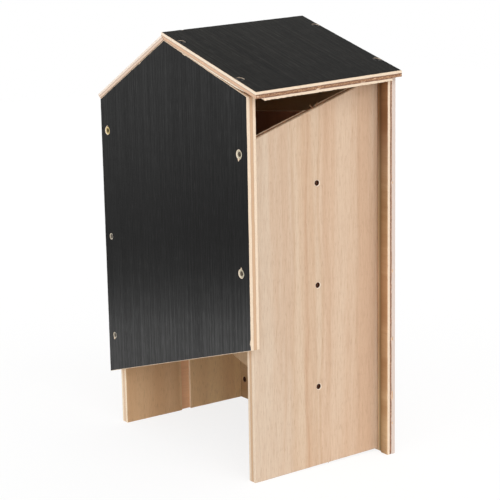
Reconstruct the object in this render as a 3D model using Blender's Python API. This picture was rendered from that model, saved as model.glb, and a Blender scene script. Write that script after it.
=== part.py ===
"""Bat box of plywood: a front, a back, two sides, a partition and a gabled roof of two boards, held by screws.

The bench frame is in metres: x runs right from the front panel's left edge, y runs back from
the front face, and z runs up from the ground. One empty then carries every piece, so that the
ground point under the middle of the roof becomes the origin.
"""
import math

import bmesh
import bpy
from mathutils import Matrix, Vector

# Boards and fits
BOARD = 0.0090                # plywood of the front, the back, the sides and the partition
ROOF_BOARD = 0.0078           # plywood of the two roof boards
REBATE_DEPTH = 0.0025         # step under a roof board that seats it on the front and the back
GROOVE_DEPTH = 0.0030         # one ply, cut in each side for the partition
GROOVE_SLACK = 0.0010         # play on each face of the partition in its grooves
FIT = 0.0003                  # clearance between pieces that touch
OVERRUN = 0.0040              # how far a cutter runs past what it cuts

# Front panel, an uneven pentagon
FRONT_WIDTH = 0.2400
FRONT_LOW_LEFT = 0.0520       # height of its slanted bottom edge at the left
FRONT_LOW_RIGHT = 0.1240      # and at the right
LEFT_EAVE_HEIGHT = 0.3212
RIGHT_EAVE_HEIGHT = 0.3390
PEAK_HEIGHT = 0.3817
PEAK_REACH = 0.1153           # from the left edge to the peak

# Box behind the front panel
LEFT_INSET = 0.0050           # left side panel, in from the front panel's left edge
RIGHT_INSET = 0.0100          # right side panel, in from its right edge
INNER_DEPTH = 0.1386          # between the front panel and the back panel
FRONT_CHAMBER = 0.0660        # between the front panel and the partition
BACK_REACH = 0.0064           # back panel's right edge, out past the front panel's
BACK_GROOVE_DEPTH = 0.0027    # cut in the back panel for each side panel
BACK_GROOVE_REACH = 0.0071    # how far that groove runs out past the side panel
RIGHT_HEEL_LIFT = 0.0022      # the right side panel's bottom edge rises this much to the back
LEFT_TOP_GAP = 0.0005         # over the left side panel, under the roof
VENT_FRONT = 0.0435           # height of the open wedge over the right side panel at the front
VENT_REAR = 0.0043            # and at the back
PARTITION_LOW_LEFT = 0.1048   # height of the partition's slanted bottom edge at the left
PARTITION_LOW_RIGHT = 0.0436  # and at the right
PARTITION_ROOF_GAP = 0.0237   # under the roof at the partition's left end
PARTITION_TOP_DROP = 0.0014   # its right end stops this much under the right side panel's top

# Roof
ROOF_RISE = 0.0079            # the roof climbs this much from front to back
ROOF_REAR_REACH = 0.0015      # past the back panel
RIGHT_EAVE_REACH = 0.0130     # past the front panel's right edge
LEFT_EAVE_REACH = 0.0042      # past its left edge
EAVE_GAP = 0.0043             # slit over the front panel at its right edge
RIDGE_NOSE = 0.0035           # the right board's top edge, left of the peak
SEAM_TURN_SHARE = 0.796       # how far the ridge seam turns from the left board's line to the right board's

# Screws through the front, the back and the roof
SCREW_LENGTH = 0.0300
SCREW_HEAD = 0.0072
SCREW_SHANK = 0.0034
HEAD_RIM = 0.0004
HEAD_CONE = 0.0020
SCREW_TIP = 0.0050
SCREW_SINK = 0.0005           # head below the face of the board

# Smaller screws through the sides into the partition
SIDE_SCREW_LENGTH = 0.0220
SIDE_SCREW_HEAD = 0.0048
SIDE_SCREW_SHANK = 0.0026
SIDE_HEAD_RIM = 0.0003
SIDE_HEAD_CONE = 0.0012
SIDE_SCREW_TIP = 0.0040
SIDE_SCREW_SINK = 0.0030

# Cross recess in each head
RECESS_SPAN_SHARE = 0.56      # of the head's diameter
RECESS_ARM_SHARE = 0.15       # of the head's diameter
RECESS_DEPTH_SHARE = 0.55     # of the cone's height

# Where the screws go
SCREW_SHIFT = 0.0019          # front and back screws, right of the side board's middle
LOWER_SCREW_RISE = 0.0390     # lower screws, over the front panel's low corner
LEFT_SCREW_DROP = 0.0293      # upper left screws, under the left eave
RIGHT_SCREW_DROP = 0.0096     # upper right screws, under the right side panel's front corner
MIDDLE_SCREW_SHARE = 0.49     # middle screws, from the lower ones to the upper ones
SIDE_SCREW_SHIFT = 0.0015     # side screws, behind the partition's middle
SIDE_SCREW_RISE = 0.0310      # lowest side screw, over the partition's bottom edge
SIDE_SCREW_DROP = 0.0624      # highest side screw, under the partition's top edge
SIDE_MIDDLE_SHARE = 0.505     # the one between them
RIDGE_SCREW_REACH = 0.0220    # roof screws, out from the peak
EAVE_SCREW_REACH = 0.0282     # and in from the eave

# Holes in the back panel for fixing it to a wall
WALL_HOLE = 0.0055
WALL_HOLE_REACH = 0.0066      # in from the side panel's inner face
WALL_HOLE_HEIGHT = 0.0203

ROUND_SIDES = 12
SMOOTH_ANGLE = math.radians(35)

BLACK_STAIN = ((0.034, 0.033, 0.033), 0.52)
BARE_PLYWOOD = ((0.708, 0.514, 0.352), 0.62)
ZINC = ((0.62, 0.58, 0.46), 0.38)

BACK_Y = BOARD + INNER_DEPTH                      # front face of the back panel
ROOF_LENGTH = BACK_Y + BOARD + ROOF_REAR_REACH
RISE_RATE = ROOF_RISE / ROOF_LENGTH
PARTITION_Y = BOARD + FRONT_CHAMBER               # front face of the partition
SIDE_FRONT_Y = BOARD + FIT
SIDE_BACK_Y = BACK_Y + BACK_GROOVE_DEPTH - FIT
LEFT_OUTER = LEFT_INSET
LEFT_INNER = LEFT_OUTER + BOARD
RIGHT_OUTER = FRONT_WIDTH - RIGHT_INSET
RIGHT_INNER = RIGHT_OUTER - BOARD
LEFT_TIP = -LEFT_EAVE_REACH
RIGHT_TIP = FRONT_WIDTH + RIGHT_EAVE_REACH


def shifted(line, distance):
    """The same line in the x-z plane, moved square to itself; a positive distance moves it up."""
    (x0, z0), (x1, z1) = line
    length = math.hypot(x1 - x0, z1 - z0)
    step_x = -(z1 - z0) / length * distance
    step_z = (x1 - x0) / length * distance
    return (x0 + step_x, z0 + step_z), (x1 + step_x, z1 + step_z)


def meet(first, second):
    """Where two lines in the x-z plane cross."""
    (ax, az), (bx, bz) = first
    (cx, cz), (dx, dz) = second
    spread = (bx - ax) * (dz - cz) - (bz - az) * (dx - cx)
    share = ((cx - ax) * (dz - cz) - (cz - az) * (dx - cx)) / spread
    return ax + (bx - ax) * share, az + (bz - az) * share


def height_at(line, x):
    """Height of a line in the x-z plane above x."""
    (x0, z0), (x1, z1) = line
    return z0 + (z1 - z0) * (x - x0) / (x1 - x0)


# Lines of the roof at the front face; behind it they climb with RISE_RATE
GABLE_LEFT = (0, LEFT_EAVE_HEIGHT), (PEAK_REACH, PEAK_HEIGHT)
GABLE_RIGHT = (PEAK_REACH, PEAK_HEIGHT), (FRONT_WIDTH, RIGHT_EAVE_HEIGHT + EAVE_GAP)
SEAT_LEFT = shifted(GABLE_LEFT, FIT)
SEAT_RIGHT = shifted(GABLE_RIGHT, FIT)
TOP_LEFT = shifted(SEAT_LEFT, ROOF_BOARD - REBATE_DEPTH)
TOP_RIGHT = shifted(SEAT_RIGHT, ROOF_BOARD - REBATE_DEPTH)
UNDER_LEFT = shifted(SEAT_LEFT, -REBATE_DEPTH)
UNDER_RIGHT = shifted(SEAT_RIGHT, -REBATE_DEPTH)


def clear_scene():
    for old in list(bpy.data.objects):
        bpy.data.objects.remove(old, do_unlink=True)


def make_material(name, finish, metallic=0.0):
    colour, roughness = finish
    material = bpy.data.materials.new(name)
    material.use_nodes = True
    shader = material.node_tree.nodes["Principled BSDF"]
    shader.inputs["Base Color"].default_value = (*colour, 1)
    shader.inputs["Roughness"].default_value = roughness
    shader.inputs["Metallic"].default_value = metallic
    return material


def add_object(name, form, parent=None):
    """Turn a bmesh into an object with its faces pointing out."""
    bmesh.ops.recalc_face_normals(form, faces=form.faces)
    mesh = bpy.data.meshes.new(name)
    form.to_mesh(mesh)
    form.free()
    piece = bpy.data.objects.new(name, mesh)
    bpy.context.collection.objects.link(piece)
    piece.parent = parent
    return piece


def add_prism(form, near_loop, travel):
    """Add a closed prism: a flat outline carried along travel."""
    near = [form.verts.new(point) for point in near_loop]
    far = [form.verts.new(Vector(point) + Vector(travel)) for point in near_loop]
    form.faces.new(near)
    form.faces.new(far[::-1])
    for index, corner in enumerate(near):
        following = (index + 1) % len(near)
        form.faces.new((corner, far[index], far[following], near[following]))


def upright_prism(outline, y_start, y_end, rate=0):
    """A prism whose outline lies in the x-z plane, climbing with rate as it runs back."""
    form = bmesh.new()
    near_loop = [(x, y_start, z + rate * y_start) for x, z in outline]
    add_prism(form, near_loop, (0, y_end - y_start, rate * (y_end - y_start)))
    return form


def side_prism(outline, x_start, x_end):
    """A prism whose outline lies in the y-z plane."""
    form = bmesh.new()
    add_prism(form, [(x_start, y, z) for y, z in outline], (x_end - x_start, 0, 0))
    return form


def add_turned(form, profile, place, direction):
    """Add a closed turned form: (radius, depth) points spun about an axis that starts at place."""
    turn = Vector(direction).to_track_quat("Z", "Y").to_matrix().to_4x4()
    frame = Matrix.Translation(place) @ turn
    rings = []
    for radius, depth in profile:
        if radius == 0:
            rings.append([form.verts.new(frame @ Vector((0, 0, depth)))])
            continue
        ring = []
        for step in range(ROUND_SIDES):
            angle = 2 * math.pi * step / ROUND_SIDES
            point = Vector((radius * math.cos(angle), radius * math.sin(angle), depth))
            ring.append(form.verts.new(frame @ point))
        rings.append(ring)
    for ring, lower in zip(rings, rings[1:]):
        for step in range(ROUND_SIDES):
            following = (step + 1) % ROUND_SIDES
            corners = [ring[step % len(ring)], lower[step % len(lower)]]
            if len(lower) > 1:
                corners.append(lower[following])
            if len(ring) > 1:
                corners.append(ring[following])
            form.faces.new(corners)


def cut(piece, name, cutter_form, parent):
    """Take a cutter's shape out of a piece."""
    cutter = add_object(name, cutter_form, parent)
    cutter.hide_render = True
    cutter.display_type = "WIRE"
    boolean = piece.modifiers.new(name, "BOOLEAN")
    boolean.operation = "DIFFERENCE"
    boolean.solver = "EXACT"
    boolean.object = cutter
    return cutter


class Screw:
    """A countersunk wood screw; its profile is (radius, depth) from the face of its head."""

    def __init__(self, length, head, shank, rim, cone, tip, sink):
        self.length = length
        self.head = head
        self.shank = shank
        self.rim = rim
        self.cone = cone
        self.tip = tip
        self.sink = sink

    def profile(self):
        return [
            (0, 0),
            (self.head / 2, 0),
            (self.head / 2, self.rim),
            (self.shank / 2, self.rim + self.cone),
            (self.shank / 2, self.length - self.tip),
            (0, self.length),
        ]

    def hole_profile(self):
        """The screw grown by the fit, open to the face of the board."""
        head = self.head / 2 + FIT
        shank = self.shank / 2 + FIT
        return [
            (0, -self.sink - OVERRUN),
            (head, -self.sink - OVERRUN),
            (head, self.rim + FIT),
            (shank, self.rim + self.cone + FIT),
            (shank, self.length - self.tip + FIT),
            (0, self.length + 2 * FIT),
        ]


LARGE_SCREW = Screw(SCREW_LENGTH, SCREW_HEAD, SCREW_SHANK, HEAD_RIM, HEAD_CONE, SCREW_TIP, SCREW_SINK)
SMALL_SCREW = Screw(
    SIDE_SCREW_LENGTH, SIDE_SCREW_HEAD, SIDE_SCREW_SHANK, SIDE_HEAD_RIM, SIDE_HEAD_CONE,
    SIDE_SCREW_TIP, SIDE_SCREW_SINK,
)


def sunk(place, direction, screw):
    """The middle of a head's face, below the face of the board."""
    return Vector(place) + Vector(direction).normalized() * screw.sink


def screw_holes(spots, screw):
    form = bmesh.new()
    for place, direction in spots:
        add_turned(form, screw.hole_profile(), sunk(place, direction, screw), direction)
    return form


def recess_outline(screw):
    """A cross, in the plane of the head."""
    reach = screw.head * RECESS_SPAN_SHARE / 2
    arm = screw.head * RECESS_ARM_SHARE / 2
    quarter = [(reach, -arm), (reach, arm), (arm, arm)]
    outline = []
    for turns in range(4):
        for x, y in quarter:
            for _ in range(turns):
                x, y = -y, x
            outline.append((x, y))
    return outline


def recess_cutter(screw):
    """The cross, from above the head's face down into its cone."""
    form = bmesh.new()
    depth = screw.cone * RECESS_DEPTH_SHARE + 2 * screw.rim
    add_prism(form, [(x, y, -screw.rim) for x, y in recess_outline(screw)], (0, 0, depth))
    return form


def screw_mesh(name, screw, material):
    """One screw with its head's face on the ground plane and its tip above, as a mesh to share."""
    form = bmesh.new()
    add_turned(form, screw.profile(), (0, 0, 0), (0, 0, 1))
    blank = add_object(name + "_blank", form)
    recess = cut(blank, name + "_recess", recess_cutter(screw), None)
    depsgraph = bpy.context.evaluated_depsgraph_get()
    mesh = bpy.data.meshes.new_from_object(blank.evaluated_get(depsgraph))
    mesh.name = name
    for tool in (blank, recess):
        bpy.data.objects.remove(tool, do_unlink=True)
    mesh.materials.clear()
    mesh.materials.append(material)
    mesh.shade_smooth()
    mesh.set_sharp_from_angle(angle=SMOOTH_ANGLE)
    return mesh


def drive_screws(name, spots, screw, mesh, parent):
    """A row of like screws, each its own object, numbered from 1."""
    for number, (place, direction) in enumerate(spots, start=1):
        piece = bpy.data.objects.new(f"{name}_{number}", mesh)
        bpy.context.collection.objects.link(piece)
        piece.parent = parent
        piece.location = sunk(place, direction, screw)
        piece.rotation_euler = Vector(direction).to_track_quat("Z", "Y").to_euler()


def front_outline():
    return [
        (0, FRONT_LOW_LEFT),
        (FRONT_WIDTH, FRONT_LOW_RIGHT),
        (FRONT_WIDTH, RIGHT_EAVE_HEIGHT),
        (PEAK_REACH, PEAK_HEIGHT),
        (0, LEFT_EAVE_HEIGHT),
    ]


def back_outline():
    """The back runs down to the ground, and its gable follows the roof, which is higher there."""
    climb = RISE_RATE * BACK_Y
    right_edge = FRONT_WIDTH + BACK_REACH
    return [
        (0, 0),
        (right_edge, 0),
        (right_edge, height_at(GABLE_RIGHT, right_edge) + climb),
        (PEAK_REACH, PEAK_HEIGHT + climb),
        (0, LEFT_EAVE_HEIGHT + climb),
    ]


def left_side_top(y):
    return height_at(UNDER_LEFT, LEFT_OUTER) + RISE_RATE * y - LEFT_TOP_GAP


def right_side_top(y):
    """The right side's slanted top, from the tall end of the open wedge to its low end."""
    under = height_at(UNDER_RIGHT, RIGHT_OUTER)
    front_top = under + RISE_RATE * SIDE_FRONT_Y - VENT_FRONT
    back_top = under + RISE_RATE * SIDE_BACK_Y - VENT_REAR
    share = (y - SIDE_FRONT_Y) / (SIDE_BACK_Y - SIDE_FRONT_Y)
    return front_top + (back_top - front_top) * share


def side_outline(top, heel_lift=0):
    return [
        (SIDE_FRONT_Y, 0),
        (SIDE_BACK_Y, heel_lift),
        (SIDE_BACK_Y, top(SIDE_BACK_Y)),
        (SIDE_FRONT_Y, top(SIDE_FRONT_Y)),
    ]


def groove_cutter(floor_x, open_x):
    """A slot up the whole inner face of a side panel, where the partition slides in."""
    tallest = PEAK_HEIGHT + ROOF_RISE
    outline = [
        (PARTITION_Y - GROOVE_SLACK, -OVERRUN),
        (PARTITION_Y + BOARD + GROOVE_SLACK, -OVERRUN),
        (PARTITION_Y + BOARD + GROOVE_SLACK, tallest),
        (PARTITION_Y - GROOVE_SLACK, tallest),
    ]
    return side_prism(outline, floor_x, open_x)


def back_groove_cutter(x_start, x_end):
    """A slot up the front face of the back panel, where a side panel sits."""
    tallest = PEAK_HEIGHT + ROOF_RISE
    outline = [(x_start, -OVERRUN), (x_end, -OVERRUN), (x_end, tallest), (x_start, tallest)]
    return upright_prism(outline, BACK_Y - OVERRUN, BACK_Y + BACK_GROOVE_DEPTH)


PARTITION_LEFT = LEFT_INNER - GROOVE_DEPTH + FIT
PARTITION_RIGHT = RIGHT_INNER + GROOVE_DEPTH - FIT
PARTITION_LEFT_TOP = height_at(UNDER_LEFT, PARTITION_LEFT) + RISE_RATE * PARTITION_Y - PARTITION_ROOF_GAP
PARTITION_RIGHT_TOP = right_side_top(PARTITION_Y) - PARTITION_TOP_DROP


def partition_outline():
    return [
        (PARTITION_LEFT, PARTITION_LOW_LEFT),
        (PARTITION_RIGHT, PARTITION_LOW_RIGHT),
        (PARTITION_RIGHT, PARTITION_RIGHT_TOP),
        (PARTITION_LEFT, PARTITION_LEFT_TOP),
    ]


def heading(line):
    """The angle at which a line in the x-z plane runs."""
    (x0, z0), (x1, z1) = line
    return math.atan2(z1 - z0, x1 - x0)


def ridge_seam():
    """The seam between the roof boards, from their seats up and to the left."""
    seat_x, seat_z = meet(SEAT_LEFT, SEAT_RIGHT)
    first = heading(SEAT_LEFT)
    last = math.pi + heading(SEAT_RIGHT)
    turn = first + (last - first) * SEAM_TURN_SHARE
    upper = (seat_x + ROOF_BOARD * math.cos(turn), seat_z + ROOF_BOARD * math.sin(turn))
    return upper, (seat_x, seat_z)


def left_roof_outline():
    eave_end = (0, height_at(SEAT_LEFT, 0)), (LEFT_TIP, height_at(TOP_LEFT, LEFT_TIP))
    seam = ridge_seam()
    return [
        meet(UNDER_LEFT, eave_end),
        meet(UNDER_LEFT, seam),
        meet(TOP_LEFT, seam),
        meet(TOP_LEFT, eave_end),
    ]


def right_roof_outline():
    seam = shifted(ridge_seam(), FIT)
    nose_x = meet(SEAT_LEFT, SEAT_RIGHT)[0] - RIDGE_NOSE
    return [
        meet(UNDER_RIGHT, seam),
        (RIGHT_TIP, height_at(UNDER_RIGHT, RIGHT_TIP)),
        (RIGHT_TIP, height_at(TOP_RIGHT, RIGHT_TIP)),
        (nose_x, height_at(TOP_RIGHT, nose_x)),
        meet(TOP_LEFT, seam),
    ]


def rebate_cutter(seat, y_start, y_end):
    """What comes off a roof board's underside, up to its seat, between two depths."""
    left = LEFT_TIP - ROOF_BOARD
    right = RIGHT_TIP + ROOF_BOARD
    drop = REBATE_DEPTH + ROOF_BOARD
    outline = [
        (left, height_at(seat, left) - drop),
        (right, height_at(seat, right) - drop),
        (right, height_at(seat, right)),
        (left, height_at(seat, left)),
    ]
    return upright_prism(outline, y_start, y_end, RISE_RATE)


def wall_holes():
    form = bmesh.new()
    radius = WALL_HOLE / 2
    profile = [(0, 0), (radius, 0), (radius, BOARD + 2 * OVERRUN), (0, BOARD + 2 * OVERRUN)]
    for x in (LEFT_INNER + WALL_HOLE_REACH, RIGHT_INNER - WALL_HOLE_REACH):
        add_turned(form, profile, (x, BACK_Y - OVERRUN, WALL_HOLE_HEIGHT), (0, 1, 0))
    return form


def spread_heights(lowest, highest, middle_share):
    """Three heights, the middle one at a share of the way up."""
    return lowest, lowest + (highest - lowest) * middle_share, highest


def front_spots(board_outer, heights):
    x = board_outer + BOARD / 2 + SCREW_SHIFT
    return [((x, 0, z), (0, 1, 0)) for z in heights]


def back_spots(board_outer, heights):
    x = board_outer + BOARD / 2 + SCREW_SHIFT
    return [((x, BACK_Y + BOARD, z), (0, -1, 0)) for z in heights]


def side_spots(face_x, direction, heights):
    y = PARTITION_Y + BOARD / 2 + SIDE_SCREW_SHIFT
    return [((face_x, y, z), (direction, 0, 0)) for z in heights]


def roof_spots(top, places_x):
    """Screws square to a roof board, into the middle of the front and of the back behind its grooves."""
    (x0, z0), (x1, z1) = top
    inward = Vector((z1 - z0, 0, -(x1 - x0))).normalized()
    spots = []
    for y in (BOARD / 2, BACK_Y + (BACK_GROOVE_DEPTH + BOARD) / 2):
        for x in places_x:
            spots.append(((x, y, height_at(top, x) + RISE_RATE * y), inward))
    return spots


def build():
    clear_scene()
    black = make_material("black_stain", BLACK_STAIN)
    bare = make_material("bare_plywood", BARE_PLYWOOD)
    zinc = make_material("zinc", ZINC, metallic=0.9)

    box = bpy.data.objects.new("bat_box", None)
    bpy.context.collection.objects.link(box)
    box.location = (-(LEFT_TIP + RIGHT_TIP) / 2, -ROOF_LENGTH / 2, 0)

    lowest = FRONT_LOW_LEFT + LOWER_SCREW_RISE
    left_heights = spread_heights(lowest, LEFT_EAVE_HEIGHT - LEFT_SCREW_DROP, MIDDLE_SCREW_SHARE)
    right_heights = spread_heights(lowest, right_side_top(SIDE_FRONT_Y) - RIGHT_SCREW_DROP, MIDDLE_SCREW_SHARE)
    front_left = front_spots(LEFT_OUTER, left_heights)
    front_right = front_spots(RIGHT_INNER, right_heights[1:])
    back_left = back_spots(LEFT_OUTER, left_heights)
    back_right = back_spots(RIGHT_INNER, right_heights)

    left_lowest = PARTITION_LOW_LEFT + SIDE_SCREW_RISE
    side_left = side_spots(LEFT_OUTER, 1, (left_lowest, PARTITION_LEFT_TOP - SIDE_SCREW_DROP))
    right_lowest = PARTITION_LOW_RIGHT + SIDE_SCREW_RISE
    right_highest = PARTITION_RIGHT_TOP - SIDE_SCREW_DROP
    side_heights = spread_heights(right_lowest, right_highest, SIDE_MIDDLE_SHARE)
    side_right = side_spots(RIGHT_OUTER, -1, side_heights)
    roof_left = roof_spots(TOP_LEFT, (PEAK_REACH - RIDGE_SCREW_REACH, LEFT_TIP + EAVE_SCREW_REACH))
    roof_right = roof_spots(TOP_RIGHT, (PEAK_REACH + RIDGE_SCREW_REACH, RIGHT_TIP - EAVE_SCREW_REACH))

    def board(name, form, material):
        piece = add_object(name, form, box)
        piece.data.materials.append(material)
        return piece

    def drill(piece, spots, screw):
        cut(piece, piece.name + "_holes", screw_holes(spots, screw), box)

    front = board("front_panel", upright_prism(front_outline(), 0, BOARD), black)
    drill(front, front_left + front_right + roof_left[:2] + roof_right[:2], LARGE_SCREW)

    back = board("back_panel", upright_prism(back_outline(), BACK_Y, BACK_Y + BOARD), bare)
    cut(back, "back_left_groove", back_groove_cutter(LEFT_OUTER - BACK_GROOVE_REACH, LEFT_INNER + FIT), box)
    cut(back, "back_right_groove", back_groove_cutter(RIGHT_INNER - FIT, RIGHT_OUTER + BACK_GROOVE_REACH), box)
    drill(back, back_left + back_right + roof_left[2:] + roof_right[2:], LARGE_SCREW)
    cut(back, "wall_holes", wall_holes(), box)

    left = board("left_side_panel", side_prism(side_outline(left_side_top), LEFT_OUTER, LEFT_INNER), bare)
    cut(left, "left_groove", groove_cutter(LEFT_INNER - GROOVE_DEPTH, LEFT_INNER + OVERRUN), box)
    drill(left, front_left + back_left, LARGE_SCREW)
    drill(left, side_left, SMALL_SCREW)

    right_form = side_prism(side_outline(right_side_top, RIGHT_HEEL_LIFT), RIGHT_INNER, RIGHT_OUTER)
    right = board("right_side_panel", right_form, bare)
    cut(right, "right_groove", groove_cutter(RIGHT_INNER + GROOVE_DEPTH, RIGHT_INNER - OVERRUN), box)
    drill(right, front_right + back_right, LARGE_SCREW)
    drill(right, side_right, SMALL_SCREW)

    partition_form = upright_prism(partition_outline(), PARTITION_Y, PARTITION_Y + BOARD)
    partition = board("partition_panel", partition_form, bare)
    drill(partition, side_left + side_right, SMALL_SCREW)

    roofs = (
        ("left_roof_board", left_roof_outline(), SEAT_LEFT, roof_left),
        ("right_roof_board", right_roof_outline(), SEAT_RIGHT, roof_right),
    )
    for name, outline, seat, spots in roofs:
        roof = board(name, upright_prism(outline, 0, ROOF_LENGTH, RISE_RATE), black)
        cut(roof, name + "_front_rebate", rebate_cutter(seat, -OVERRUN, BOARD + FIT), box)
        cut(roof, name + "_back_rebate", rebate_cutter(seat, BACK_Y - FIT, ROOF_LENGTH + OVERRUN), box)
        drill(roof, spots, LARGE_SCREW)

    large = screw_mesh("large_screw", LARGE_SCREW, zinc)
    small = screw_mesh("small_screw", SMALL_SCREW, zinc)
    drive_screws("front_left_screw", front_left, LARGE_SCREW, large, box)
    drive_screws("front_right_screw", front_right, LARGE_SCREW, large, box)
    drive_screws("back_left_screw", back_left, LARGE_SCREW, large, box)
    drive_screws("back_right_screw", back_right, LARGE_SCREW, large, box)
    drive_screws("left_roof_screw", roof_left, LARGE_SCREW, large, box)
    drive_screws("right_roof_screw", roof_right, LARGE_SCREW, large, box)
    drive_screws("left_partition_screw", side_left, SMALL_SCREW, small, box)
    drive_screws("right_partition_screw", side_right, SMALL_SCREW, small, box)


build()
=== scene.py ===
import math

import bpy
import numpy as np
from mathutils import Matrix, Vector


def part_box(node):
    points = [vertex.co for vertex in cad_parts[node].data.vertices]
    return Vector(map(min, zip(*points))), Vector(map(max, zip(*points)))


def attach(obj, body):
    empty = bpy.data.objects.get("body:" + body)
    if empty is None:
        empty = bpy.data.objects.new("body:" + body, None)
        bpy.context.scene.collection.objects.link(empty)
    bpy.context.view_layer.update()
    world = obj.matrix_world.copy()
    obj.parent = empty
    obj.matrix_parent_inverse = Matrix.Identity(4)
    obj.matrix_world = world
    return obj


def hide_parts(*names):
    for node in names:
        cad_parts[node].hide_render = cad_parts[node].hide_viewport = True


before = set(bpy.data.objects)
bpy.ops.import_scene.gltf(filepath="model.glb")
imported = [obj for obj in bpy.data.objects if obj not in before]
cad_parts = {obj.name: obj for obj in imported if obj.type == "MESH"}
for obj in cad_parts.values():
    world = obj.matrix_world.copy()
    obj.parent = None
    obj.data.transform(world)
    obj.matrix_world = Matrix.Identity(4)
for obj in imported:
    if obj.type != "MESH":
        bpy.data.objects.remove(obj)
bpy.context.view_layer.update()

# Sizes in the dictionaries are millimetres on the maker's bench: x runs right from the front
# panel's left edge, y runs back from its black face, z runs up from the ground.
mm = 0.001
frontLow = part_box("front_panel")[0]
bench = np.array([frontLow.x, frontLow.y, 0.0])   # the bench's corner in the shared frame
roofClimb = 0.049968                              # the roof's rise towards the back, per length


def benchPoint(point):
    return bench + np.asarray(point, float) * mm


# Heights from -1 to 1 stand on the crossings of a square lattice, and between them runs
# the blend a + (b - a) * f * f * (3 - 2 * f), first along x and then along y.
def latticeNoise(x, y, seed):
    table = np.random.default_rng(seed).uniform(-1, 1, (256, 256))
    column = np.floor(x).astype(int)
    row = np.floor(y).astype(int)
    fx = x - column
    fy = y - row
    fx = fx * fx * (3 - 2 * fx)
    fy = fy * fy * (3 - 2 * fy)

    def height(right, up):
        return table[(column + right) % 256, (row + up) % 256]

    low = height(0, 0) + (height(1, 0) - height(0, 0)) * fx
    high = height(0, 1) + (height(1, 1) - height(0, 1)) * fx
    return low + (high - low) * fy


# Four corners of every cell in a grid whose first direction closes on itself:
# station i joins station i + 1, and level k joins level k + 1.
def ringQuads(stations, levels):
    i = np.arange(stations)[:, None]
    k = np.arange(levels - 1)[None, :]
    following = (i + 1) % stations
    corners = [i * levels + k, following * levels + k, following * levels + k + 1, i * levels + k + 1]
    return np.stack(np.broadcast_arrays(*corners), -1).reshape(-1, 4)


# A closed form from a (stations, levels, 3) grid: its first and its last level each get one flat face.
def ringMesh(name, grid, smooth=True):
    stations, levels = grid.shape[:2]
    quads = ringQuads(stations, levels)
    firstCap = np.arange(stations) * levels
    lastCap = firstCap + levels - 1
    faces = quads.tolist() + [firstCap[::-1].tolist(), lastCap.tolist()]
    mesh = bpy.data.meshes.new(name)
    mesh.from_pydata(grid.reshape(-1, 3).tolist(), [], faces)
    flags = np.full(len(faces), smooth)
    flags[-2:] = False
    mesh.polygons.foreach_set("use_smooth", flags)
    mesh.update()
    turnOutward(mesh)
    return mesh


# One value, or one row of width values, for each of a mesh's items
def readAll(items, name, width=1, kind=float):
    values = np.empty(len(items) * width, kind)
    items.foreach_get(name, values)
    return values.reshape(-1, width) if width > 1 else values


# A value for every corner point, which the materials read by its title
def addMark(mesh, title, values):
    mark = mesh.attributes.new(title, "FLOAT", "POINT")
    mark.data.foreach_set("value", values.ravel())


# Volume inside a closed mesh = a third of the sum of (face centre . face normal * face area);
# where it comes out negative, the faces point inwards and are all turned over.
def turnOutward(mesh):
    centres = readAll(mesh.polygons, "center", 3)
    normals = readAll(mesh.polygons, "normal", 3)
    areas = readAll(mesh.polygons, "area")
    spread = ((centres - centres.mean(0)) * normals).sum(1)
    if (spread * areas).sum() < 0:
        mesh.flip_normals()


def unit(vector):
    vector = np.asarray(vector, float)
    return vector / np.linalg.norm(vector)


# The plane of a board's outer face: its first corner, a direction along its first edge, the
# direction square to that in the face, and the direction into the wood.
def boardPlane(board):
    corners = np.array([benchPoint(corner) for corner in board["corners"]])
    sideways = unit(corners[1] - corners[0])
    inward = unit(np.cross(sideways, corners[2] - corners[1]))
    if inward @ board["into"] < 0:
        inward = -inward
    upward = np.cross(sideways, inward)
    if upward @ (corners[2] - corners[0]) < 0:
        upward = -upward
    return corners, sideways, upward, inward


# How fine the wear on a board's edges is, in lattice cells per metre along the edge, and for fibre,
# torn and hollow through the board as well
edgeGrain = {
    "chips": 700, "rubbed": 300, "wear": 55, "outerArris": 400, "innerArris": 260, "splinters": 620,
    "plies": 90, "fibre": (350, 4200), "torn": (1100, 2600), "hollow": (160, 300),
}
arrisLevels = 5     # levels round each arris
bandLevels = 16     # levels across the plies between them


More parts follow.
